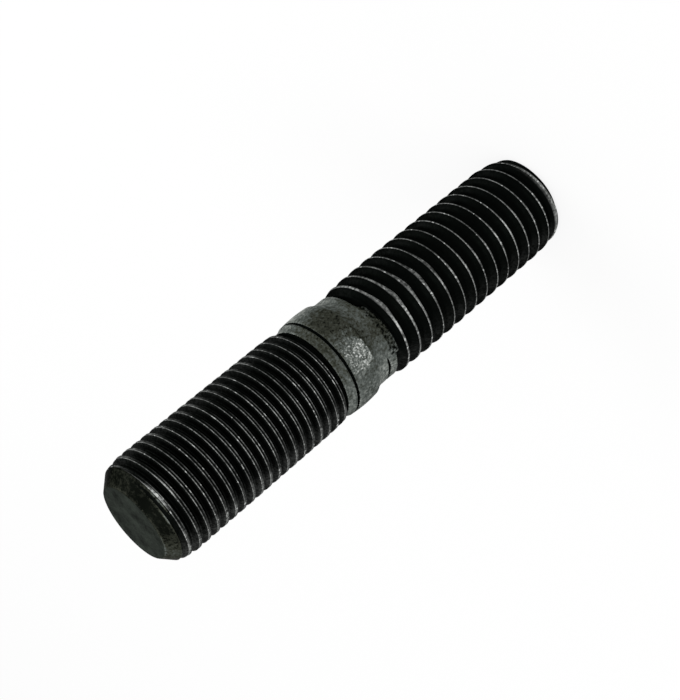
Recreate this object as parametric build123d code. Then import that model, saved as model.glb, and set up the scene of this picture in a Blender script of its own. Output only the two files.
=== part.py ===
from build123d import *
from math import atan, ceil, degrees, radians, tan
import os

# A double ended stud, rolled from one bar of steel: 1/2-13 UNC thread at the lower end, a plain
# collar near the middle and 1/2-20 UNF thread at the upper end.
# Millimetres and degrees. The origin is the centre of the coarse end face, on which the stud
# stands, and +Z runs along the axis to the fine end.

INCH = 25.4

# Both threads
thread_angle = 60  # between the two flanks of a groove
cutter_clearance = 0.13  # the cutter stands this far proud of the crests

# Coarse thread, at the lower end
coarse_per_inch = 13
coarse_crest_dia = 12.45
coarse_face_dia = 11.1  # the flat that the stud stands on
coarse_point_dia = 11.85  # where the point bevel gives way to the lead
coarse_point_length = 0.75
coarse_lead_length = 2.6  # over which the first crests grow to full height
coarse_thread_length = 29.6  # from the end face to the neck
coarse_groove_length = 29.95  # from the end face to where the groove has left the steel
runout_turns = 2  # the groove climbs out of the steel over these
runout_length = 1.5  # the last ridge slopes down to the neck over this

# Plain middle
neck_dia = 11.5  # the bar before rolling, at the pitch diameter of the coarse thread
neck_length = 2.0
shoulder_length = 1.85  # the collar curves down to the neck over this
collar_dia = 12.6
collar_length = 2.95
ring_outer_dia = 12.3  # the ring between collar and fine thread swells towards the collar
ring_inner_dia = 11.75
ring_length = 1.4

# Fine thread, at the upper end
fine_per_inch = 20
fine_crest_dia = 12.5
fine_root_dia = 11.1
fine_thread_length = 25.7  # from the ring to the end face
fine_lead_length = 1.7
fine_point_dia = 11.85
fine_point_length = 1.4
fine_face_dia = 9.2

# Worked out from the sizes above
coarse_pitch = INCH / coarse_per_inch
fine_pitch = INCH / fine_per_inch
flank_slope = tan(radians(thread_angle / 2))
full_vee = 1 / (2 * flank_slope)  # height of the sharp vee, as a share of the pitch
neck_top = coarse_thread_length + neck_length
collar_bottom = neck_top + shoulder_length
collar_top = collar_bottom + collar_length
fine_start = collar_top + ring_length
overall_length = fine_start + fine_thread_length


def turned_blank():
    """The stud before its coarse groove: half its outline, turned about the axis. The shoulder
    is an arc that leaves the collar smoothly and meets the neck at a corner."""
    fine_groove_mouth = fine_pitch / 2
    fine_groove_depth = (fine_crest_dia - fine_root_dia) / 2
    coarse_full = coarse_point_length + coarse_lead_length
    coarse_half = [
        (0, 0),
        (coarse_face_dia / 2, 0),
        (coarse_point_dia / 2, coarse_point_length),
        (coarse_crest_dia / 2, coarse_full),
        (coarse_crest_dia / 2, coarse_thread_length - runout_length),
        (neck_dia / 2, coarse_thread_length),
        (neck_dia / 2, neck_top),
    ]
    fine_half = [
        (collar_dia / 2, collar_bottom),
        (collar_dia / 2, collar_top),
        (ring_outer_dia / 2, collar_top),
        (ring_inner_dia / 2, fine_start),
        (fine_root_dia / 2, fine_start + fine_groove_mouth / 2),
        (fine_crest_dia / 2, fine_start + fine_groove_mouth / 2 + fine_groove_depth * flank_slope),
        (fine_crest_dia / 2, overall_length - fine_point_length - fine_lead_length),
        (fine_point_dia / 2, overall_length - fine_point_length),
        (fine_face_dia / 2, overall_length),
        (0, overall_length),
    ]
    with BuildPart() as blank:
        with BuildSketch(Plane.XZ):
            with BuildLine():
                Polyline(*coarse_half)
                TangentArc(fine_half[0], coarse_half[-1], tangent=(0, -1))
                Polyline(*fine_half, coarse_half[0])
            make_face()
        revolve(axis=Axis.Z)
    return blank.part


def groove_cutter(pitch, crest_dia, length):
    """The steel that one right-hand groove takes away. Its section is the basic 60 degree form,
    with a flat of P/8 left on the crest and P/4 in the root. It is carried up the helix turn by
    turn, and then out of the steel along a cone."""
    crest_flat = pitch / 8
    root_flat = pitch / 4
    depth = (pitch - crest_flat - root_flat) * full_vee
    cut_height = depth + cutter_clearance
    root_radius = crest_dia / 2 - depth
    outer_radius = root_radius + cut_height
    outer_width = root_flat + 2 * cut_height * flank_slope
    runout = runout_turns * pitch
    climb_angle = degrees(atan(cut_height / runout))
    turns = ceil((length - runout) / pitch) + 1
    start = length - runout - turns * pitch
    helix = [
        Helix(pitch, pitch, root_radius, center=(0, 0, start + turn * pitch)).edge()
        for turn in range(turns)
    ]
    climb = Helix(
        pitch, runout, root_radius, center=(0, 0, length - runout), cone_angle=climb_angle
    )
    section = Polyline(
        (root_radius, start - root_flat / 2),
        (root_radius, start + root_flat / 2),
        (outer_radius, start + outer_width / 2),
        (outer_radius, start - outer_width / 2),
        close=True,
    )
    return sweep(Plane.XZ * make_face(section), Wire(helix + climb.edges()), is_frenet=True)


stud = turned_blank() - groove_cutter(coarse_pitch, coarse_crest_dia, coarse_groove_length)

os.makedirs("parts", exist_ok=True)
export_step(stud, "parts/stud.step")
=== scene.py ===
import math

import bpy
import numpy as np
from mathutils import Matrix, Vector


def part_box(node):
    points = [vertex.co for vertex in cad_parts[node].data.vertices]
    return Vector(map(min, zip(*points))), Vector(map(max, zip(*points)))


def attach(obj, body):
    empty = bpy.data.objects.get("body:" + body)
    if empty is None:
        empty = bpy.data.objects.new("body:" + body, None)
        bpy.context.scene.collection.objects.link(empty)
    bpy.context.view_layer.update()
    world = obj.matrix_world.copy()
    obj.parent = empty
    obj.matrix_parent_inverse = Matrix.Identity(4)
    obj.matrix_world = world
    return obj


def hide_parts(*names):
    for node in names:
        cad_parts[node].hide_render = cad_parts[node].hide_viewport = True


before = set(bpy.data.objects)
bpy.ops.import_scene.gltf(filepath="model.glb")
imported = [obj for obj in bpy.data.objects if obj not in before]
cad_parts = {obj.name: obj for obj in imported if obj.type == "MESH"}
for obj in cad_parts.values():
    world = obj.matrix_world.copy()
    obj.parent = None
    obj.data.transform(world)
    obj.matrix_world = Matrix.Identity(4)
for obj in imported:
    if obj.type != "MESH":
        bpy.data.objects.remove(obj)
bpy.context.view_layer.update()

bl_info = {
    "name": "Double ended stud",
    "version": (1, 0, 0),
    "blender": (4, 5, 0),
    "location": "View3D > Sidebar > Stud",
    "description": "Builds a double ended steel stud with a coarse and a fine rolled thread",
    "category": "Add Mesh",
}

MM = 0.001
NODE = "stud"
STUD_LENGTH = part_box(NODE)[1].z
HALF_VEE = math.radians(30)  # each flank leans this far from square to the axis
TURN = 2 * math.pi


# ---------------------------------------------------------------- sizes and colours


def length(name, default_mm, description):
    """A length property, given in millimetres and kept in metres."""
    return bpy.props.FloatProperty(
        name=name, description=description, default=default_mm * MM, unit="LENGTH", precision=6
    )


class CoarseThreadSizes(bpy.types.PropertyGroup):
    pitch: length("Pitch", 25.4 / 13, "From one crest to the next, 13 to the inch")
    crest_radius: length("Crest radius", 6.225, "Radius of the full crests")
    crest_width: length("Crest width", 0.25, "Width of a full crest's flat")
    depth: length("Depth", 1.06, "From the crests to the root of the full form")
    crest_height: length("Crest height", 28.49, "Height of one crest on the side that faces -Y")
    face_radius: length("Face radius", 5.55, "Radius of the flat end that the stud stands on")
    point_radius: length("Point radius", 5.9, "Radius where the point bevel meets the lead")
    point_end: length("Point end", 0.75, "Height at which the point bevel ends")
    lead_end: length("Lead end", 3.35, "Height at which the crests reach their full radius")
    filled_end: length("Filled end", 22.5, "Height above which the crests are less and less full")
    last_crest: length("Last crest", 28.6, "Height at which the last crest starts to sink")
    last_radius: length("Last radius", 6.08, "Radius of the last crest, which is not full")
    thread_end: length("Thread end", 29.7, "Height at which the last crest has sunk into the neck")
    pinch: length("Pinch", 0.24, "How much narrower the groove's end is on one side of the stud")


class FineThreadSizes(bpy.types.PropertyGroup):
    pitch: length("Pitch", 25.4 / 20, "From one crest to the next, 20 to the inch")
    crest_radius: length("Crest radius", 6.25, "Radius of the full crests")
    crest_width: length("Crest width", 0.42, "Width of a crest, with its two lips")
    depth: length("Depth", 0.58, "From the crests to the root")
    crest_height: length("Crest height", 60.38, "Height of one crest on the side that faces -Y")
    start: length("Start", 37.75, "Height of the ring's foot, where the thread starts")
    relief_radius: length("Relief radius", 5.6, "Radius of the dip between ring and first crest")
    first_crest: length("First crest", 38.35, "Height at which the crests start")
    lead_start: length("Lead start", 60.4, "Height at which the crests start to shrink")
    point_start: length("Point start", 62.1, "Height at which the point bevel starts")
    point_radius: length("Point radius", 5.925, "Radius where the lead meets the point bevel")
    face_radius: length("Face radius", 4.6, "Radius of the flat end")
    seam_depth: length("Seam depth", 0.045, "Depth of the seam that rolling leaves along a crest")


class ShankSizes(bpy.types.PropertyGroup):
    neck_radius: length("Neck radius", 5.76, "Radius of the plain neck above the coarse thread")
    neck_end: length("Neck end", 31.6, "Height at which the neck meets the shoulder")
    brow: length("Brow", 33.1, "Height of the brow at which the shoulder meets the collar")
    collar_radius: length("Collar radius", 6.27, "Largest radius of the collar")
    edge_radius: length("Edge radius", 6.19, "Radius of the collar at its two edges")
    collar_end: length("Collar end", 36.28, "Height of the collar's upper edge")
    line_width: length("Line width", 0.40, "Width of the sharp line between collar and ring")
    line_depth: length("Line depth", 0.22, "Depth of the sharp line between collar and ring")
    ring_radius: length("Ring radius", 6.15, "Radius of the ring beside the line")
    ring_waist: length("Ring waist", 5.94, "Radius of the ring at its waist")
    foot_radius: length("Foot radius", 5.88, "Radius of the ring at its foot")


def tint(name, default, description):
    """A colour property."""
    return bpy.props.FloatVectorProperty(
        name=name, description=description, default=default, subtype="COLOR", size=3, min=0, max=1
    )


class SteelFinish(bpy.types.PropertyGroup):
    oxide: tint("Oxide", (0.0016, 0.0021, 0.0018), "Black oxide in the grooves")
    bare: tint("Bare steel", (0.62, 0.64, 0.62), "Steel where the oxide is rubbed through")
    face: tint("Face", (0.030, 0.036, 0.030), "Thinner oxide on the flat end faces")
    shank_dark: tint("Shank dark", (0.0035, 0.0042, 0.0032), "Darkest spots off the threads")
    shank_olive: tint("Shank olive", (0.043, 0.046, 0.035), "Oxide that is hardly rubbed")
    shank_grey: tint("Shank grey", (0.101, 0.114, 0.106), "Oxide that is rubbed thin")
    # Shank light is mostly the tone of the collar's patch, which is worn and carries a painted
    # highlight.
    shank_light: tint("Shank light", (0.300, 0.320, 0.295), "Oxide that is nearly rubbed through")
    roughness: bpy.props.FloatProperty(
        name="Roughness", description="Roughness of the oxide where it is smoothest",
        subtype="FACTOR", min=0, max=1, default=0.40,
    )


class StageSettings(bpy.types.PropertyGroup):
    floor_size: length("Floor size", 1200, "Side of the square floor")
    floor_colour: tint("Floor colour", (0.95, 0.95, 0.95), "Colour of the matt floor")
    floor_white: bpy.props.FloatProperty(
        name="Floor white", description="Share of the floor that the camera sees as plain white",
        subtype="FACTOR", min=0, max=1, default=0.86,
    )
    lens: bpy.props.FloatProperty(
        name="Lens", description="Focal length of the camera", unit="CAMERA", default=71.0
    )
    key_power: bpy.props.FloatProperty(
        name="Key lamp", description="Power of the large soft lamp", unit="POWER", default=3.2
    )
    fill_power: bpy.props.FloatProperty(
        name="Fill lamp", description="Power of the lamp on the far side", unit="POWER", default=1.6
    )
    sky: bpy.props.FloatProperty(
        name="Sky", description="Strength of the even light from all round", default=0.7, min=0
    )


# ---------------------------------------------------------------- curves


def bump(value, centre, width):
    """A bell curve that is 1 at the centre and e to the -1 a width away from it."""
    return np.exp(-(((value - centre) / width) ** 2))


def bell(turned, centre, width):
    """The same bell curve round the stud, in degrees, that meets itself after a whole turn."""
    return bump((turned - centre + 180) % 360, 180, width)


def spots(turned, bells):
    """A sum of bell curves round the stud, one for each (strength, angle, width) of bells."""
    return sum(strength * bell(turned, angle, width) for strength, angle, width in bells)


def ease(value, low, high):
    """0 below low, 1 above high, and a smooth step between them."""
    t = np.clip((value - low) / (high - low), 0, 1)
    return t * t * (3 - 2 * t)


def rounded_rise(rise, soft):
    """A rise where it is above 0, and 0 where it is below, with the corner between rounded: soft
    times the logarithm of 1 plus e to the power of rise over soft. To keep that power finite, a
    rise of over 40 times soft counts as 40 times soft."""
    return soft * np.log1p(np.exp(np.clip(rise / soft, -40, 40)))


# ---------------------------------------------------------------- the blank


LINE_FLOOR = (0.35, 0.65)  # shares of the sharp line's width between which its floor is level
RELIEF_START = 0.15 * MM  # above the ring's foot, where the relief reaches its radius
RELIEF_END = 0.3 * MM  # above the ring's foot, where the relief ends and the fine rows start
LOW_CREST = 0.1 * MM  # how much the first fine crest lacks of its full radius
FULL_CRESTS = 2 * MM  # above the first fine crest, where the crests are full
WAIST = 0.4  # share of the ring's height, from the sharp line, at which its waist lies


def blank_radius(height, coarse, fine, shank):
    """Radius of the stud before its grooves. It runs straight between the corners below. On the
    collar a sine arch is added, and on the shoulder an arc leaves the neck smoothly."""
    line_end = shank.collar_end + shank.line_width
    line_radius = shank.edge_radius - shank.line_depth
    corners = [
        (0, coarse.face_radius),
        (coarse.point_end, coarse.point_radius),
        (coarse.lead_end, coarse.crest_radius),
        (coarse.filled_end, coarse.crest_radius),
        (coarse.last_crest, coarse.last_radius),
        (coarse.thread_end, shank.neck_radius),
        (shank.neck_end, shank.neck_radius),
        (shank.brow, shank.edge_radius),
        (shank.collar_end, shank.edge_radius),
        (shank.collar_end + LINE_FLOOR[0] * shank.line_width, line_radius),
        (shank.collar_end + LINE_FLOOR[1] * shank.line_width, line_radius),
        (line_end, shank.ring_radius),
        (line_end + WAIST * (fine.start - line_end), shank.ring_waist),
        (fine.start, shank.foot_radius),
        (fine.start + RELIEF_START, fine.relief_radius),
        (fine.start + RELIEF_END, fine.relief_radius),
        (fine.first_crest, fine.crest_radius - LOW_CREST),
        (fine.first_crest + FULL_CRESTS, fine.crest_radius),
        (fine.lead_start, fine.crest_radius),
        (fine.point_start, fine.point_radius),
        (STUD_LENGTH, fine.face_radius),
    ]
    at, radius = np.array(corners).T
    turned = np.interp(height, at, radius)
    along = (height - shank.brow) / (shank.collar_end - shank.brow)
    arch = np.sin(np.pi * np.clip(along, 0, 1)) * (shank.collar_radius - shank.edge_radius)
    rise = shank.edge_radius - shank.neck_radius
    run = shank.brow - shank.neck_end
    bend = (run**2 + rise**2) / (2 * rise)
    above = np.clip(height - shank.neck_end, 0, run)
    arc = shank.neck_radius + bend - np.sqrt(bend**2 - above**2)
    on_shoulder = (height > shank.neck_end) & (height < shank.brow)
    return np.where(on_shoulder, arc, turned + arch)


# ---------------------------------------------------------------- the grooves


class Groove:
    """One right-hand groove with flanks at 60 degrees to each other. Its centre climbs one pitch
    a turn: its height is the start plus the pitch times the turns made. At its root it has a flat
    as wide as its depth and the crests leave it. It is cut between two heights, low and high."""

    def __init__(self, sizes, low, high):
        self.pitch = sizes.pitch
        self.crest_radius = sizes.crest_radius
        self.full_depth = sizes.depth
        self.full_flat = (sizes.pitch - sizes.crest_width) / 2 - sizes.depth * math.tan(HALF_VEE)
        # On the -Y side, a quarter turn back from +X, a groove lies half a pitch from the crest.
        self.start = sizes.crest_height - self.pitch / 4
        self.low, self.high = low, high

    def depth(self, centre):
        """The groove's depth where its centre is at that height."""
        return self.full_depth

    def flat(self, centre, above):
        """How far the root's flat reaches, above the centre or below it."""
        return self.full_flat

    def half_width(self, centre, above):
        """How far the groove reaches at the crests: its root's flat, and its flank."""
        return self.flat(centre, above) + self.depth(centre) * math.tan(HALF_VEE)

    def centre(self, angle, height):
        """Height of the groove's centre nearest to a place."""
        turns = (height - self.start) / self.pitch - angle / TURN
        return self.start + self.pitch * (np.round(turns) + angle / TURN)

    def radius(self, angle, height):
        """Radius of the groove's walls: the greater of the root's and the straight flanks', with
        the corner between them rounded."""
        centre = self.centre(angle, height)
        root = self.crest_radius - self.depth(centre)
        outside = np.abs(height - centre) - self.half_width(centre, height > centre)
        flank = self.crest_radius + outside / math.tan(HALF_VEE)
        return root + rounded_rise(flank - root, 0.03 * self.pitch)


# How the coarse groove ends, in millimetres: the height of its centre, and how much it lacks
# there of its full depth, of its root's flat below the centre and of the flat above it. Over the
# last crest it is wider than before, and then it fades into a sliver.
RUN_OUT = (
    (22.5, 0, 0, 0),
    (25.5, 0.04, 0, 0),
    (27.5, 0.06, 0, 0),
    (29.4, 0.03, 0, 0),
    (29.63, 0.06, 0, -0.40),
    (29.87, 0.06, 0, -0.18),
    (30.1, 0.06, 0, 0),
    (30.5, 0.14, 0.04, 0.12),
    (31.0, 0.26, 0.02, 0.34),
    (31.12, 0.32, 0.04, 0.34),
    (31.17, 0.42, 0.14, 0.29),
    (31.21, 0.62, 0.24, 0.24),
    (31.3, 0.96, 0.24, 0.24),
)
PINCHED = (279, 16)  # angle and width, in degrees, of the side on which the groove is narrower
PINCH_STARTS = (16 * MM, 22 * MM)  # heights between which that sets in
PINCH_STOPS = (28.5 * MM, 28.9 * MM)  # heights between which it stops again


class CoarseGroove(Groove):
    """The coarse groove, whose depth and flat run straight between the corners of RUN_OUT."""

    def __init__(self, sizes, low, high):
        super().__init__(sizes, low, high)
        self.pinch = sizes.pinch
        self.at, self.less_depth, self.less_below, self.less_above = np.array(RUN_OUT).T * MM

    def depth(self, centre):
        """The groove's depth where its centre is at that height."""
        return self.full_depth - np.interp(centre, self.at, self.less_depth)

    def flat(self, centre, above):
        """How far the root's flat reaches, above the centre or below it. On one side of the stud
        the groove's end is pinched from above, so that the crest over it is broader there."""
        turned = (centre - self.start) / self.pitch % 1 * 360
        pinched = bell(turned, *PINCHED) * ease(centre, *PINCH_STARTS)
        pinched = self.pinch * pinched * (1 - ease(centre, *PINCH_STOPS))
        less_below = np.interp(centre, self.at, self.less_below)
        less_above = np.interp(centre, self.at, self.less_above)
        return self.full_flat - np.where(above, less_above + pinched, less_below)


# ---------------------------------------------------------------- mesh rows


COLUMNS = 172  # points round the stud
# The rows across one pitch. A place runs from 0 at a groove's centre over 1 at its root's edge,
# 2 and 3 at the crest's edges and 4 at the next root's edge to 5 at the next centre.
ROWS_BELOW_CREST = (0, 0.5, 1, 1.15, 1.6)
ROWS_ABOVE_CREST = (3.4, 3.85, 4)
# The rows on a crest, as shares of its width. Its two edges have a row each as well, so that the
# first of these is the crest's row 1.
COARSE_CREST_ROWS = (0.2, 0.5, 0.8)
FINE_CREST_ROWS = (0.12, 0.3, 0.5, 0.7, 0.88)
LOWER_LIP, SEAM, UPPER_LIP = 1, 3, 5  # three rows of a fine crest
OFF_CREST = -1
SHOULDER_ROWS, COLLAR_ROWS, RING_ROWS = 9, 9, 6  # level rows, with those at both ends


def thread_rows(groove, angle, crest_rows):
    """Heights of the mesh rows of one thread, and which of a crest's rows each is. Each pitch has
    the same few rows, and a row's height runs straight between the places named above. All rows
    climb one pitch a turn, so that those of one turn's end meet those of the next turn's start,
    and they are clipped to the thread's two ends."""
    on_crest = [2, *(2 + row for row in crest_rows), 3]
    place = np.array([*ROWS_BELOW_CREST, *on_crest, *ROWS_ABOVE_CREST])
    row = np.arange(len(place)) - len(ROWS_BELOW_CREST)
    row = np.where((row >= 0) & (row < len(on_crest)), row, OFF_CREST)
    # The turns from first to last reach past both ends of the thread, where they are clipped.
    first = math.floor((groove.low - groove.start) / groove.pitch) - 2
    last = math.ceil((groove.high - groove.start) / groove.pitch) + 1
    turn = np.arange(first, last)[:, None, None]
    centre = groove.start + groove.pitch * (turn + angle / TURN)
    after = centre + groove.pitch
    # Rows of a groove that has faded away keep a small distance from each other.
    least = 0.1 * groove.half_width(groove.low, False)
    knots = np.concatenate([
        centre,
        centre + np.maximum(groove.flat(centre, True), least),
        centre + np.maximum(groove.half_width(centre, True), 2 * least),
        after - np.maximum(groove.half_width(after, False), 2 * least),
        after - np.maximum(groove.flat(after, False), least),
        after,
    ], axis=1)
    step = np.minimum(place.astype(int), 4)
    part = (place - step)[None, :, None]
    height = knots[:, step] * (1 - part) + knots[:, step + 1] * part
    height = height.reshape(-1, len(angle))
    return np.clip(height, groove.low, groove.high), np.tile(row, last - first)


def level_rows(fine, shank):
    """Heights of the level mesh rows between the threads: up the shoulder, over the brow, up the
    collar, through the sharp line, along the ring and into the relief."""
    line = shank.collar_end + np.array([0, 0.12, *LINE_FLOOR, 0.88, 1]) * shank.line_width
    return np.concatenate([
        np.linspace(shank.neck_end, shank.brow, SHOULDER_ROWS),
        [shank.brow + 0.04 * MM],
        np.linspace(shank.brow + 0.2 * MM, shank.collar_end, COLLAR_ROWS)[:-1],
        line,
        np.linspace(line[-1], fine.start, RING_ROWS)[1:-1],
        fine.start + np.array([0, 0.05, 0.15, 0.25]) * MM,
    ])


# ---------------------------------------------------------------- wear and painted light


# Spots round the stud that are added to how far the oxide is rubbed: bell curves of a strength,
# the angle of their middle and their width, in degrees from +X towards +Y. Bare steel is 1.
# Many of them are painted light rather than wear, as the comments above them say.
# Neck, collar and ring: a painted sheen, lighter towards the stud's two sides at about 208 and 353
# degrees. On the neck there is also painted light where the shoulder faces the light, at about 300
# and 330 degrees. On the collar there is painted shade at about 300 degrees.
NECK_SHEEN = ((0.34, 208, 34), (0.32, 353, 24), (0.06, 300, 30), (0.14, 330, 18))
COLLAR_SHEEN_AND_SHADE = ((0.21, 208, 34), (0.52, 353, 24), (-0.09, 300, 30))
RING_SHEEN = ((0.25, 208, 34), (0.34, 353, 24))
# Fine end's bevel: a painted sheen, lighter towards the stud's two sides at about 200 and 330
# degrees.
POINT_SIDE_SHEEN = ((0.04, 330, 30), (0.26, 200, 24))
# Crests: a painted sheen, brighter towards the stud's two sides at about 200 and 345 to 350 degrees.
CREST_SIDE_SHEEN = ((0.4, 200, 25), (0.4, 345, 20))
FINE_CREST_SIDE_SHEEN = ((0.35, 200, 20), (0.3, 350, 20))
# Fine crests' lips: a painted highlight at about 260 degrees, on top of the upper lip's wear and all
# that the lower lip has.
UPPER_LIP_HIGHLIGHT = ((0.3, 262, 24),)
LOWER_LIP_HIGHLIGHT = ((0.45, 260, 26),)
LAST_LIP_WEAR = ((0.8, 274, 11), (0.4, 205, 22))
LAST_BUT_ONE_WEAR = ((0.6, 274, 11),)
LAST_EDGE_WEAR = ((0.12, 250, 40), (0.35, 252, 11))
# Grooves: a painted sheen, lighter towards the stud's two sides at about 200 and 350 degrees.
GROOVE_SIDE_SHEEN = ((0.08, 200, 17), (0.022, 350, 24))
SHANK_RUB = 0.25  # how far all the metal between the threads is rubbed
# The patch on the collar is worn and also carries a painted highlight.
PATCH_RUB_AND_HIGHLIGHT = 0.3  # how much further the patch is rubbed that is worn on the collar
PATCH_ANGLE = 254  # the angle of its middle
PATCH_REACH = 12  # degrees that it reaches to either side at the brow
PATCH_WIDENS = (9, 6)  # further degrees at the collar's middle, past its angle and before it
# More bell curves, of strength 1: the angle of their middle and their width.
# Where a highlight is painted on the coarse crests.
CREST_LINE_HIGHLIGHT = (256, 11)
CREST_LINE_DARKEST = (300, 25)
DULL_CRESTS = (283, 15)
BESIDE_PATCH = (280, 9)
# Where painted shade darkens the brow beside the patch.
DARK_BROW = (276, 15)
POINT_STREAK = (274, 14)
POINT_RIM = (228, 26)


def worn_and_highlight_patch(turned, height, shank):
    """The rounded patch on the collar, from 0 to 1, which is worn and carries a painted highlight.
    It ends at the brow. Round the stud it falls off by a smooth step in the third power of the angle
    from its middle over its reach. It is fainter on the half away from the brow, and a faint spot
    lies next to it."""
    middle = (shank.brow + shank.collar_end) / 2
    wider = np.where(turned > PATCH_ANGLE, *PATCH_WIDENS)
    reach = PATCH_REACH + wider * ease(height, shank.brow - 0.2 * MM, middle)
    away = np.abs((turned - PATCH_ANGLE) / reach)
    patch = 1 - ease(away**3, 0.1, 1.5)
    patch = patch * (1 - 0.3 * ease(height, middle - 0.3 * MM, middle + 0.5 * MM))
    patch = patch + 0.25 * bell(turned, *BESIDE_PATCH)
    return patch * ((height > shank.brow) & (height < shank.collar_end))


def shank_rub(turned, height, shank):
    """How far the oxide is rubbed off between the threads, with painted light added: a base, the
    spots round the stud, which are painted sheen and painted shade, and the patch, which is worn and
    carries a painted highlight. Two narrow lines are darker, painted shade, one low on the neck on
    its far side, and one along the brow beside the patch."""
    round_it = np.select(
        [height < shank.brow, (height > shank.brow) & (height < shank.collar_end)],
        [spots(turned, NECK_SHEEN), spots(turned, COLLAR_SHEEN_AND_SHADE)],
        spots(turned, RING_SHEEN),
    )
    far_side = np.maximum(ease(turned, 290, 310), 1 - ease(turned, 20, 60))
    # Two narrow lines of painted shade: low on the neck on its far side, and along the brow beside
    # the patch.
    neck_shade = bump(height, shank.neck_end - 0.6 * MM, 0.2 * MM) * far_side
    brow_shade = bump(height, shank.brow + 0.02 * MM, 0.06 * MM) * bell(turned, *DARK_BROW)
    patch = worn_and_highlight_patch(turned, height, shank)
    return SHANK_RUB + round_it - 0.12 * neck_shade - 0.16 * brow_shade + PATCH_RUB_AND_HIGHLIGHT * patch


def point_rub(turned, height, fine):
    """How far the oxide is rubbed off the fine end's bevel, with a painted sheen: spots round it,
    which are the painted sheen towards the stud's two sides, a streak at its outer edge, and a
    little all along the rim of the face."""
    streak = bump(height, fine.point_start - 0.15 * MM, 0.15 * MM) * bell(turned, *POINT_STREAK)
    rim = bump(height, STUD_LENGTH, 0.12 * MM) * (0.08 + 0.12 * bell(turned, *POINT_RIM))
    return spots(turned, POINT_SIDE_SHEEN) + 0.4 * streak + rim


# ---------------------------------------------------------------- the stud's side


DEEPEST_CUT = 0.6 * MM  # a groove is cut no deeper under the blank, and has a level floor there
EDGE_ROUND = 0.015 * MM  # how far the edges between grooves and blank are rounded
CREST_REACH = 0.06 * MM  # where this much is cut from the blank, a place is off the crest
SCALY_STARTS = (218, 228)  # angles between which the scaly metal sets in
SCALY_STOPS = (288, 304)  # angles between which it stops again
SCALY_GAP = 0.03 * MM  # the scaly metal stays under the blank by 0 to 3 times this


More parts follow.
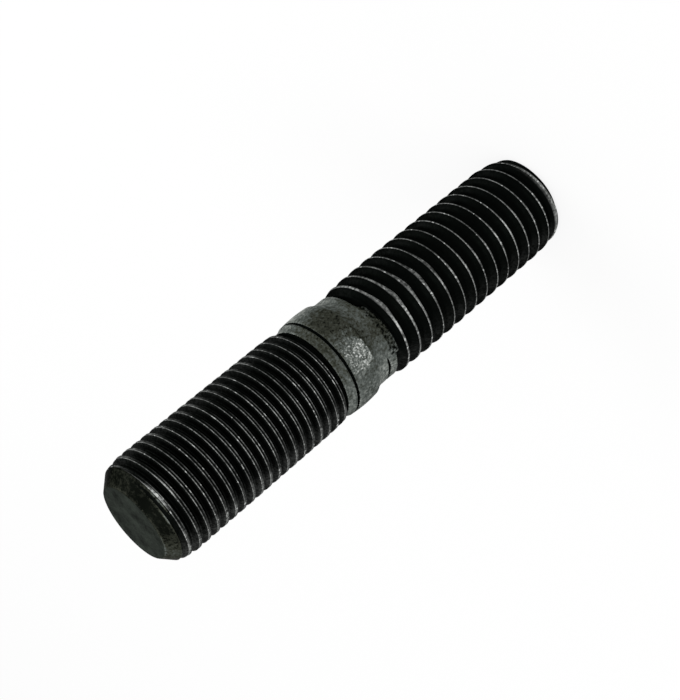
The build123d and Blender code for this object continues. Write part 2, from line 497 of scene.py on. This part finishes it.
class StudSide:
    """The stud's side as rows by columns of points: their angle, height and radius, and marks
    from 0 to 1 that the steel's material reads. Turned is the angle in degrees, and row says
    which of a crest's rows a row is."""

    def __init__(self, coarse, fine, shank):
        self.coarse, self.fine, self.shank = coarse, fine, shank
        self.coarse_groove = CoarseGroove(coarse, 0.0, shank.neck_end - 0.15 * MM)
        self.fine_groove = Groove(fine, fine.start + RELIEF_END, STUD_LENGTH)
        self.lay_rows()
        self.blank = blank_radius(self.height, coarse, fine, shank)
        self.roll_threads()
        self.push_scales()
        self.press_seam()

    def lay_rows(self):
        """Lays the coarse thread's rows, the level ones and the fine thread's on each other."""
        angle = np.linspace(0, TURN, COLUMNS + 1)
        coarse_height, coarse_row = thread_rows(self.coarse_groove, angle, COARSE_CREST_ROWS)
        fine_height, fine_row = thread_rows(self.fine_groove, angle, FINE_CREST_ROWS)
        level = level_rows(self.fine, self.shank)
        level_height = np.repeat(level[:, None], len(angle), axis=1)
        self.height = np.concatenate([coarse_height, level_height, fine_height])
        self.angle = np.broadcast_to(angle, self.height.shape)
        self.turned = np.degrees(self.angle) % 360
        off_crest = np.full(len(level), OFF_CREST)
        self.row = np.concatenate([coarse_row, off_crest, fine_row])[:, None]
        index = np.arange(len(self.row))[:, None]
        self.is_coarse = index < len(coarse_row)
        self.is_fine = index >= len(coarse_row) + len(level)

    def roll_threads(self):
        """Cuts the grooves. The radius is the lesser of the blank's and the groove's, with the
        edge between them rounded, but no less than the blank's without the deepest cut."""
        coarse = self.coarse_groove.radius(self.angle, self.height)
        fine = self.fine_groove.radius(self.angle, self.height)
        no_groove = 2 * self.blank.max()
        self.groove = np.select([self.is_coarse, self.is_fine], [coarse, fine], no_groove)
        cut = np.minimum(self.blank - self.groove, DEEPEST_CUT)
        self.radius = self.blank - rounded_rise(cut, EDGE_ROUND)

    def push_scales(self):
        """Adds the scaly metal that rolling pushed over the last coarse groove from its neck side,
        round part of the stud. It brings the radius back to the blank's, less a ragged gap that
        is a sum of two sines of the angle. It counts as scaly with the metal next above it."""
        height = self.height
        above = height - self.coarse_groove.centre(self.angle, height)
        lowest = self.coarse.last_crest + 0.5 * MM
        highest = self.coarse.thread_end + 0.9 * MM
        here = ease(self.turned, *SCALY_STARTS) * (1 - ease(self.turned, *SCALY_STOPS))
        here = here * ((height > lowest) & (height < highest))
        over_root = ease(above, 0.07 * MM, 0.11 * MM)
        gap = SCALY_GAP * (1.5 + np.sin(29 * self.angle) + 0.5 * np.sin(47 * self.angle))
        sunk = np.clip(self.blank - gap - self.radius, 0, None)
        self.radius = self.radius + here * over_root * sunk
        self.scaly = here * np.maximum(over_root, above < -0.6 * MM)

    def press_seam(self):
        """Presses a seam into the middle of each fine crest, as deep as the sizes say on the seam's
        row and 0.6 of that on the rows beside it. Before that, on_crest is set: 1 where nothing
        is cut from the blank, and straight down to 0 at the crest's reach."""
        self.on_crest = np.clip(1 - (self.blank - self.radius) / CREST_REACH, 0, 1)
        share = np.select([self.row == SEAM, np.abs(self.row - SEAM) == 1], [1.0, 0.6], 0.0)
        full = (self.height > self.fine.first_crest) & (self.height < self.fine.point_start)
        self.radius = self.radius - self.fine.seam_depth * share * (self.is_fine & full)

    def fine_crests(self):
        """How bright each row of a fine crest is. The upper lip is brightest, with a painted
        highlight at one angle, and the lower one has only a painted highlight at one angle. At two
        more angles, towards the stud's two sides, the whole crest is brighter, a painted sheen. The
        last two crests before the point are worn more, on their upper half."""
        row, turned = self.row, self.turned
        upper = 0.55 + spots(turned, UPPER_LIP_HIGHLIGHT) + spots(turned, CREST_SIDE_SHEEN)
        lower = spots(turned, LOWER_LIP_HIGHLIGHT)
        between = spots(turned, FINE_CREST_SIDE_SHEEN)
        rows = [row == UPPER_LIP, row == LOWER_LIP, (row > LOWER_LIP) & (row < UPPER_LIP)]
        bright = np.select(rows, [upper, lower, between], 0.0)
        to_point = self.fine.point_start - self.height
        last = (to_point < 0.9 * MM) & (row >= SEAM) & (row <= UPPER_LIP)
        last_but_one = (to_point < 2.1 * MM) & (row > SEAM) & (row <= UPPER_LIP)
        bright = bright + last * spots(turned, LAST_LIP_WEAR)
        return bright + last_but_one * spots(turned, LAST_BUT_ONE_WEAR)

    def coarse_crests(self):
        """How bright each row of a coarse crest is. The upper row is a bright line, brightest at one
        angle, where a highlight is painted on all three rows. Next to that the crests towards the
        neck are broad and dull, and the nearer they are to the neck, the brighter are their other
        two rows.
        Towards the stud's two sides all three rows are brighter, a painted sheen."""
        row, turned, height = self.row, self.turned, self.height
        start = self.coarse.filled_end
        # most is a painted highlight, and sides below is a painted sheen towards the stud's two
        # sides.
        most = bell(turned, *CREST_LINE_HIGHLIGHT)
        dull = bell(turned, *DULL_CRESTS) * ease(height, start - 4 * MM, start - MM)
        broad = 0.32 * ease(height, start, self.coarse.last_crest)
        sides = spots(turned, CREST_SIDE_SHEEN)
        least = bell(turned, *CREST_LINE_DARKEST)
        line = 0.66 - 0.5 * broad + 0.5 * most - 0.15 * least + sides
        line = line * (1 - 0.65 * dull)
        middle = 0.15 + broad + 0.75 * most + 0.5 * sides
        lower = broad + 0.6 * most
        bright = np.select([row == 3, row == 2, row == 1], [line, middle, lower], 0.0)
        return np.maximum(bright, 0.26 * dull * ((row >= 0) & (row < 4)))

    def crest_mark(self):
        """How bright the threads are: their crests, rubbed bright and with a painted highlight and
        sheen;
        a trace of brightness in the grooves, most at two angles, towards the stud's two sides, where
        a sheen is painted; and the edge of the coarse point."""
        height = self.height
        bright = np.where(self.is_fine, self.fine_crests(), self.coarse_crests())
        bevel = (height < self.coarse.point_end) | (height > self.fine.point_start)
        bright = np.clip(bright, 0, 1) * self.on_crest * ~bevel
        # thin is a faint trace in the grooves and a painted sheen towards the stud's two sides.
        thin = (0.003 + spots(self.turned, GROOVE_SIDE_SHEEN)) * np.where(self.is_fine, 1, 0.35)
        thread = (height < self.coarse.thread_end) | (height > self.fine.first_crest)
        point = 0.7 * bump(height, self.coarse.point_end + 0.2 * MM, 0.25 * MM) * self.on_crest
        return np.maximum(np.maximum(bright, thin) * thread, point)

    def shank_mark(self):
        """1 on the plain metal between the threads and on the fine end's bevel, 0.49 on the scaly
        metal, and 0 on the threads and in the sharp line."""
        height, shank = self.height, self.shank
        end = self.coarse.thread_end
        plain = ease(height, end - 0.4 * MM, end - 0.1 * MM) * self.on_crest
        plain = plain * (height < self.fine.start + 0.05 * MM)
        plain = np.maximum(plain, self.scaly) * (1 - 0.51 * self.scaly)
        line_end = shank.collar_end + shank.line_width
        in_line = (height > shank.collar_end + 0.01 * MM) & (height < line_end - 0.01 * MM)
        plain = np.where(in_line, 0, plain)
        start = self.fine.point_start
        return np.maximum(plain, ease(height, start - 0.35 * MM, start) * self.on_crest)

    def rub_mark(self):
        """How far the oxide is rubbed off where the shank mark is set, with the painted sheen,
        highlight and shade added round the stud. The scaly metal is a little less rubbed, and the
        edge of the last groove on the bevel is more rubbed."""
        on_point = self.height > self.fine.point_start - 0.4 * MM
        point = point_rub(self.turned, self.height, self.fine)
        shank = shank_rub(self.turned, self.height, self.shank)
        last_edge = bump(self.groove - self.blank, 0.06 * MM, 0.12 * MM)
        last_edge = last_edge * (self.height > self.fine.point_start)
        edge_wear = last_edge * spots(self.turned, LAST_EDGE_WEAR)
        return np.where(on_point, point, shank) - 0.08 * self.scaly + edge_wear

    def marks(self):
        """The marks by name. The worn one is where the collar's patch, worn and with a painted
        highlight, sparkles.
        """
        return {
            # The crest mark holds the crests' wear with a painted highlight and sheen.
            "crest": self.crest_mark(),
            "shank": self.shank_mark(),
            # The rub mark is wear with a painted sheen, highlight and shade added.
            "rub": self.rub_mark(),
            # The worn mark is the collar's patch, which is worn and carries a painted highlight.
            "worn": worn_and_highlight_patch(self.turned, self.height, self.shank),
        }


END_RINGS = np.array([0.97, 0.7, 0.35, 0.0])  # a flat end's rings, as shares of its radius
SAME_PLACE = 2e-7  # points that round to the same multiple of this, in metres, become one


def closed_mesh(name, side):
    """A mesh from the rows and columns of a side: x is the radius times the angle's cosine and y
    its sine. The last column falls on the first one a turn later, the flat ends are rings drawn
    in to the axis and marked as face, and points that coincide become one."""
    rings = len(END_RINGS)
    low = side.radius[0] * END_RINGS[::-1, None]
    high = side.radius[-1] * END_RINGS[:, None]
    radius = np.concatenate([low, side.radius, high])
    low_height = np.repeat(side.height[:1], rings, axis=0)
    high_height = np.repeat(side.height[-1:], rings, axis=0)
    height = np.concatenate([low_height, side.height, high_height])
    angle = np.broadcast_to(side.angle[0], height.shape)
    points = np.stack([radius * np.cos(angle), radius * np.sin(angle), height], axis=-1)
    points = points.reshape(-1, 3)
    rows, columns = height.shape
    keys = np.round(points / SAME_PLACE).astype(np.int64)
    _, first, same = np.unique(keys, axis=0, return_index=True, return_inverse=True)
    index = same.reshape(rows, columns)
    quads = np.stack([index[:-1, :-1], index[:-1, 1:], index[1:, 1:], index[1:, :-1]], axis=-1)
    quads = quads.reshape(-1, 4)
    triangles = np.concatenate([quads[:, [0, 1, 2]], quads[:, [0, 2, 3]]])
    a, b, c = triangles.T
    triangles = triangles[(a != b) & (b != c) & (c != a)]
    mesh = bpy.data.meshes.new(name)
    mesh.from_pydata(points[first].tolist(), [], triangles.tolist())
    for mark, values in {**side.marks(), "face": np.zeros_like(side.radius)}.items():
        end = np.full((rings, columns), float(mark == "face"))
        whole = np.concatenate([end, values, end]).reshape(-1)
        layer = mesh.attributes.new(mark, "FLOAT", "POINT")
        layer.data.foreach_set("value", whole[first].astype(np.float32))
    mesh.validate()
    mesh.shade_smooth()
    return mesh


class STUD_OT_build_stud(bpy.types.Operator):
    """Makes the stud's visible surface in place of its plain solid"""

    bl_idname = "stud.build_stud"
    bl_label = "Build stud"

    def execute(self, context):
        scene = context.scene
        side = StudSide(scene.coarse_thread, scene.fine_thread, scene.shank_sizes)
        mesh = closed_mesh("stud_surface", side)
        mesh.materials.append(black_oxide(scene.steel_finish))
        stud = bpy.data.objects.new("stud_surface", mesh)
        scene.collection.objects.link(stud)
        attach(stud, "root")
        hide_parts(NODE)
        return {"FINISHED"}


# ---------------------------------------------------------------- materials


class Nodes:
    """The node tree of a material or a world, emptied, and short ways to fill it."""

    def __init__(self, owner):
        owner.use_nodes = True
        self.tree = owner.node_tree
        self.tree.nodes.clear()

    def add(self, kind, settings=None, **inputs):
        """Adds a node, sets it and fills its inputs, which are named, or in0, in1 and so on by
        number."""
        made = self.tree.nodes.new(kind)
        for key, value in (settings or {}).items():
            setattr(made, key, value)
        for key, value in inputs.items():
            number = key.startswith("in")
            socket = made.inputs[int(key[2:]) if number else key.replace("_", " ")]
            if isinstance(value, bpy.types.NodeSocket):
                self.tree.links.new(value, socket)
            else:
                socket.default_value = value
        return made

    def maths(self, operation, first, second):
        """One operation on two values."""
        return self.add("ShaderNodeMath", {"operation": operation}, in0=first, in1=second).outputs[0]

    def swing(self, noise, strength):
        """A noise as a swing about 0, times its strength."""
        return self.maths("MULTIPLY", self.maths("SUBTRACT", noise, 0.5), strength)

    def mix(self, share, first, second, blend="MIX"):
        """Share of the second colour over the first, or of another blend of the two."""
        first, second = (
            colour if isinstance(colour, bpy.types.NodeSocket) else (*colour, 1)
            for colour in (first, second)
        )
        settings = {"data_type": "RGBA", "blend_type": blend}
        return self.add("ShaderNodeMix", settings, in0=share, in6=first, in7=second).outputs[2]

    def ramp(self, source, stops):
        """A value turned into greys or colours, straight between stops of (place, colour)."""
        made = self.add("ShaderNodeValToRGB", in0=source)
        elements = made.color_ramp.elements
        while len(elements) < len(stops):
            elements.new(0.5)
        for element, (place, colour) in zip(elements, stops):
            grey = isinstance(colour, (int, float))
            element.position = place
            element.color = (*((colour,) * 3 if grey else colour), 1)
        return made.outputs["Color"]

    def mark(self, name):
        """A mark of the mesh."""
        return self.add("ShaderNodeAttribute", {"attribute_name": name}).outputs["Fac"]

    def noise(self, scale, detail, roughness=0.6):
        """Noise in the object's own coordinates, with about scale blotches to the metre."""
        place = self.add("ShaderNodeTexCoord").outputs["Object"]
        made = self.add(
            "ShaderNodeTexNoise", Vector=place, Scale=scale, Detail=detail, Roughness=roughness
        )
        return made.outputs["Fac"]


class OxideNoises:
    """The noises that the steel's colours share, from the largest blotches to the smallest."""

    def __init__(self, nodes):
        self.clouds = nodes.noise(420, 3)
        self.mottle = nodes.noise(1500, 5, 0.68)
        self.beads = nodes.noise(2300, 0)
        self.flecks = nodes.noise(3200, 3)
        self.glints = nodes.noise(4400, 1)
        some_mottle = nodes.maths("MULTIPLY", self.mottle, 0.45)
        some_flecks = nodes.maths("MULTIPLY", self.flecks, 0.55)
        self.speckle = nodes.maths("ADD", some_mottle, some_flecks)


def thread_colour(nodes, noises, finish):
    """Black oxide in the grooves, and crests that are rubbed unevenly, with a few bright beads. The
    crest mark also holds a painted highlight and sheen.
    """
    crest = nodes.mark("crest")
    uneven = nodes.maths("MULTIPLY", crest, nodes.ramp(noises.clouds, [(0.36, 0.55), (0.64, 1.35)]))
    lips = nodes.maths("MULTIPLY", uneven, nodes.ramp(noises.flecks, [(0.36, 0.22), (0.64, 1.0)]))
    near_lip = nodes.ramp(crest, [(0.1, 0.0), (0.35, 1.0)])
    beads = nodes.ramp(noises.beads, [(0.68, 0.0), (0.74, 1.0)])
    bright = nodes.maths("MAXIMUM", lips, nodes.maths("MULTIPLY", near_lip, beads))
    return nodes.mix(bright, finish.oxide, finish.bare)


def shank_colour(nodes, noises, finish):
    """Oxide from dark over olive and grey to bare steel. The tone is how far it is rubbed, with a
    painted sheen, highlight and shade added, broken up by speckles that grow with it, and by
    blotches of three sizes. Where it is hardly rubbed it has dark pits, and where it is worn, on the
    collar's patch that also carries a painted highlight, it has sparks."""
    # The rub mark is wear with a painted sheen, highlight and shade added.
    rub = nodes.mark("rub")
    tone = nodes.maths("MULTIPLY", rub, nodes.ramp(noises.speckle, [(0.3, 0.45), (0.7, 1.55)]))
    tone = nodes.maths("ADD", tone, nodes.swing(noises.clouds, 0.22))
    tone = nodes.maths("ADD", tone, nodes.swing(noises.mottle, 0.2))
    tone = nodes.maths("ADD", tone, nodes.swing(noises.flecks, 0.2))
    hardly_rubbed = nodes.ramp(rub, [(0.3, 0.14), (0.4, 0.0)])
    pits = nodes.ramp(noises.glints, [(0.34, 1.0), (0.42, 0.0)])
    tone = nodes.maths("SUBTRACT", tone, nodes.maths("MULTIPLY", hardly_rubbed, pits))
    brightest = nodes.ramp(noises.glints, [(0.6, 0.0), (0.68, 0.5)])
    sparks = nodes.maths("ADD", nodes.swing(noises.glints, 1.2), brightest)
    tone = nodes.maths("ADD", tone, nodes.maths("MULTIPLY", nodes.mark("worn"), sparks))
    return nodes.ramp(tone, [
        (0.0, finish.shank_dark), (0.22, finish.shank_olive), (0.42, finish.shank_grey),
        (0.72, finish.shank_light), (1.0, finish.bare),
    ])


def face_colour(nodes, noises, finish):
    """Thin oxide with faint darker blotches."""
    some_speckle = nodes.maths("MULTIPLY", noises.speckle, 0.5)
    some_clouds = nodes.maths("MULTIPLY", noises.clouds, 0.5)
    blotches = nodes.maths("ADD", some_speckle, some_clouds)
    shade = nodes.ramp(blotches, [(0.38, 0.35), (0.62, 1.55)])
    return nodes.mix(1.0, finish.face, shade, "MULTIPLY")


def black_oxide(finish):
    """Black oxide on rolled steel: nearly black in the grooves, rubbed bright along the crests,
    thinner on the end faces, and mottled from olive to bare steel between the threads, which it
    meets in a ragged edge. The marks add a painted highlight, sheen and shade to the crests, the
    grooves and the metal between the threads. Its bump and roughness follow the mottles."""
    material = bpy.data.materials.new("black_oxide_steel")
    nodes = Nodes(material)
    noises = OxideNoises(nodes)
    ragged = nodes.maths("ADD", nodes.mark("shank"), nodes.swing(noises.flecks, 1.1))
    on_shank = nodes.ramp(ragged, [(0.38, 0.0), (0.62, 1.0)])
    thread = thread_colour(nodes, noises, finish)
    colour = nodes.mix(on_shank, thread, shank_colour(nodes, noises, finish))
    colour = nodes.mix(nodes.mark("face"), colour, face_colour(nodes, noises, finish))
    coarse = nodes.maths("MULTIPLY", noises.mottle, 0.7)
    height = nodes.maths("ADD", coarse, nodes.maths("MULTIPLY", noises.flecks, 0.3))
    relief = nodes.add("ShaderNodeBump", Height=height, Strength=0.5, Distance=0.04 * MM).outputs[0]
    rough = nodes.ramp(noises.mottle, [(0.3, finish.roughness), (0.7, finish.roughness + 0.2)])
    shader = nodes.add(
        "ShaderNodeBsdfPrincipled", Base_Color=colour, Metallic=1.0, Roughness=rough,
        Specular_Tint=(0.45, 0.45, 0.45, 1), Normal=relief,
    )
    nodes.add("ShaderNodeOutputMaterial", Surface=shader.outputs[0])
    return material


def white_when_seen(nodes, plain, share):
    """The plain shader, and share of it turned to white light of strength 1 where the camera, a
    reflection or a refraction sees it."""
    rays = nodes.add("ShaderNodeLightPath").outputs
    seen = nodes.maths("MAXIMUM", rays["Is Camera Ray"], rays["Is Glossy Ray"])
    seen = nodes.maths("MAXIMUM", seen, rays["Is Transmission Ray"])
    part = nodes.maths("MULTIPLY", seen, share)
    white = nodes.add("ShaderNodeEmission", Color=(1, 1, 1, 1), Strength=1.0).outputs[0]
    return nodes.add("ShaderNodeMixShader", in0=part, in1=plain, in2=white).outputs[0]


def pale_floor(stage):
    """A pale matt floor that the camera and reflections see as nearly white. The part of it that
    stays matt keeps the stud's shadow."""
    material = bpy.data.materials.new("pale_floor")
    nodes = Nodes(material)
    matt = nodes.add("ShaderNodeBsdfDiffuse", Color=(*stage.floor_colour, 1)).outputs[0]
    surface = white_when_seen(nodes, matt, stage.floor_white)
    nodes.add("ShaderNodeOutputMaterial", Surface=surface)
    return material


# ---------------------------------------------------------------- stage


# The lamps' side and their places, in metres.
LAMP_SIZE = 0.5
KEY_PLACE = (-0.3, -0.5, 0.9)
FILL_PLACE = (0.6, 0.1, 0.5)
# The camera's place, and the directions of its right side and of its back.
CAMERA_PLACE = (0.0, -135.96 * MM, 104.67 * MM)
CAMERA_RIGHT = (-0.6397, -0.3589, -0.6797)
CAMERA_BACK = (-0.0008, -0.8840, 0.4676)


def soft_lamp(scene, name, place, power):
    """A square area lamp at place that faces the stud's middle."""
    light = bpy.data.lights.new(name, "AREA")
    light.shape, light.size, light.energy = "SQUARE", LAMP_SIZE, power
    lamp = bpy.data.objects.new(name, light)
    lamp.location = place
    aim = Vector((0, 0, STUD_LENGTH / 2)) - Vector(place)
    lamp.rotation_euler = aim.to_track_quat("-Z", "Y").to_euler()
    scene.collection.objects.link(lamp)


def square_floor(scene, stage):
    """A square floor under the stud."""
    half = stage.floor_size / 2
    corners = [(-half, -half, 0), (half, -half, 0), (half, half, 0), (-half, half, 0)]
    mesh = bpy.data.meshes.new("floor")
    mesh.from_pydata(corners, [], [(0, 1, 2, 3)])
    mesh.materials.append(pale_floor(stage))
    floor = bpy.data.objects.new("floor", mesh)
    scene.collection.objects.link(floor)


def even_light(scene, stage):
    """Even light from all round, which the camera and reflections see as plain white."""
    world = bpy.data.worlds.new("even_light")
    scene.world = world
    nodes = Nodes(world)
    even = nodes.add("ShaderNodeBackground", Color=(1, 1, 1, 1), Strength=stage.sky).outputs[0]
    nodes.add("ShaderNodeOutputWorld", Surface=white_when_seen(nodes, even, 1.0))


def stage_camera(scene, stage):
    """A camera whose axes are its right side, its back, and the direction square to both."""
    camera = bpy.data.objects.new("camera", bpy.data.cameras.new("camera"))
    camera.data.lens = stage.lens
    camera.data.clip_start = 10 * MM
    back = Vector(CAMERA_BACK).normalized()
    up = back.cross(Vector(CAMERA_RIGHT)).normalized()
    axes = Matrix((up.cross(back), up, back)).transposed()
    camera.matrix_world = Matrix.Translation(CAMERA_PLACE) @ axes.to_4x4()
    scene.collection.objects.link(camera)
    scene.camera = camera


class STUD_OT_build_stage(bpy.types.Operator):
    """Makes the floor, the soft lamps, the even light and the camera"""

    bl_idname = "stud.build_stage"
    bl_label = "Build stage"

    def execute(self, context):
        scene = context.scene
        stage = scene.stage_settings
        square_floor(scene, stage)
        even_light(scene, stage)
        soft_lamp(scene, "key_lamp", KEY_PLACE, stage.key_power)
        soft_lamp(scene, "fill_lamp", FILL_PLACE, stage.fill_power)
        stage_camera(scene, stage)
        scene.view_settings.view_transform = "Standard"
        return {"FINISHED"}


# ---------------------------------------------------------------- add-on


GROUPS = {
    "coarse_thread": CoarseThreadSizes,
    "fine_thread": FineThreadSizes,
    "shank_sizes": ShankSizes,
    "steel_finish": SteelFinish,
    "stage_settings": StageSettings,
}


class STUD_PT_panel(bpy.types.Panel):
    """Lists the operators and the sizes in the 3D view's sidebar"""

    bl_label = "Double ended stud"
    bl_idname = "STUD_PT_panel"
    bl_space_type = "VIEW_3D"
    bl_region_type = "UI"
    bl_category = "Stud"

    def draw(self, context):
        layout = self.layout
        layout.operator(STUD_OT_build_stud.bl_idname)
        layout.operator(STUD_OT_build_stage.bl_idname)
        for group in GROUPS:
            box = layout.box()
            settings = getattr(context.scene, group)
            for name in settings.bl_rna.properties.keys():
                if name not in ("rna_type", "name"):
                    box.prop(settings, name)


CLASSES = (*GROUPS.values(), STUD_OT_build_stud, STUD_OT_build_stage, STUD_PT_panel)


def register():
    """Registers the classes and gives each scene the sizes, the finish and the stage."""
    for made in CLASSES:
        bpy.utils.register_class(made)
    for name, group in GROUPS.items():
        setattr(bpy.types.Scene, name, bpy.props.PointerProperty(type=group))


def unregister():
    """Undoes register."""
    for name in GROUPS:
        delattr(bpy.types.Scene, name)
    for made in reversed(CLASSES):
        bpy.utils.unregister_class(made)


def main():
    register()
    bpy.ops.stud.build_stud()
    bpy.ops.stud.build_stage()
    bpy.context.view_layer.update()


if __name__ == "__main__":
    main()
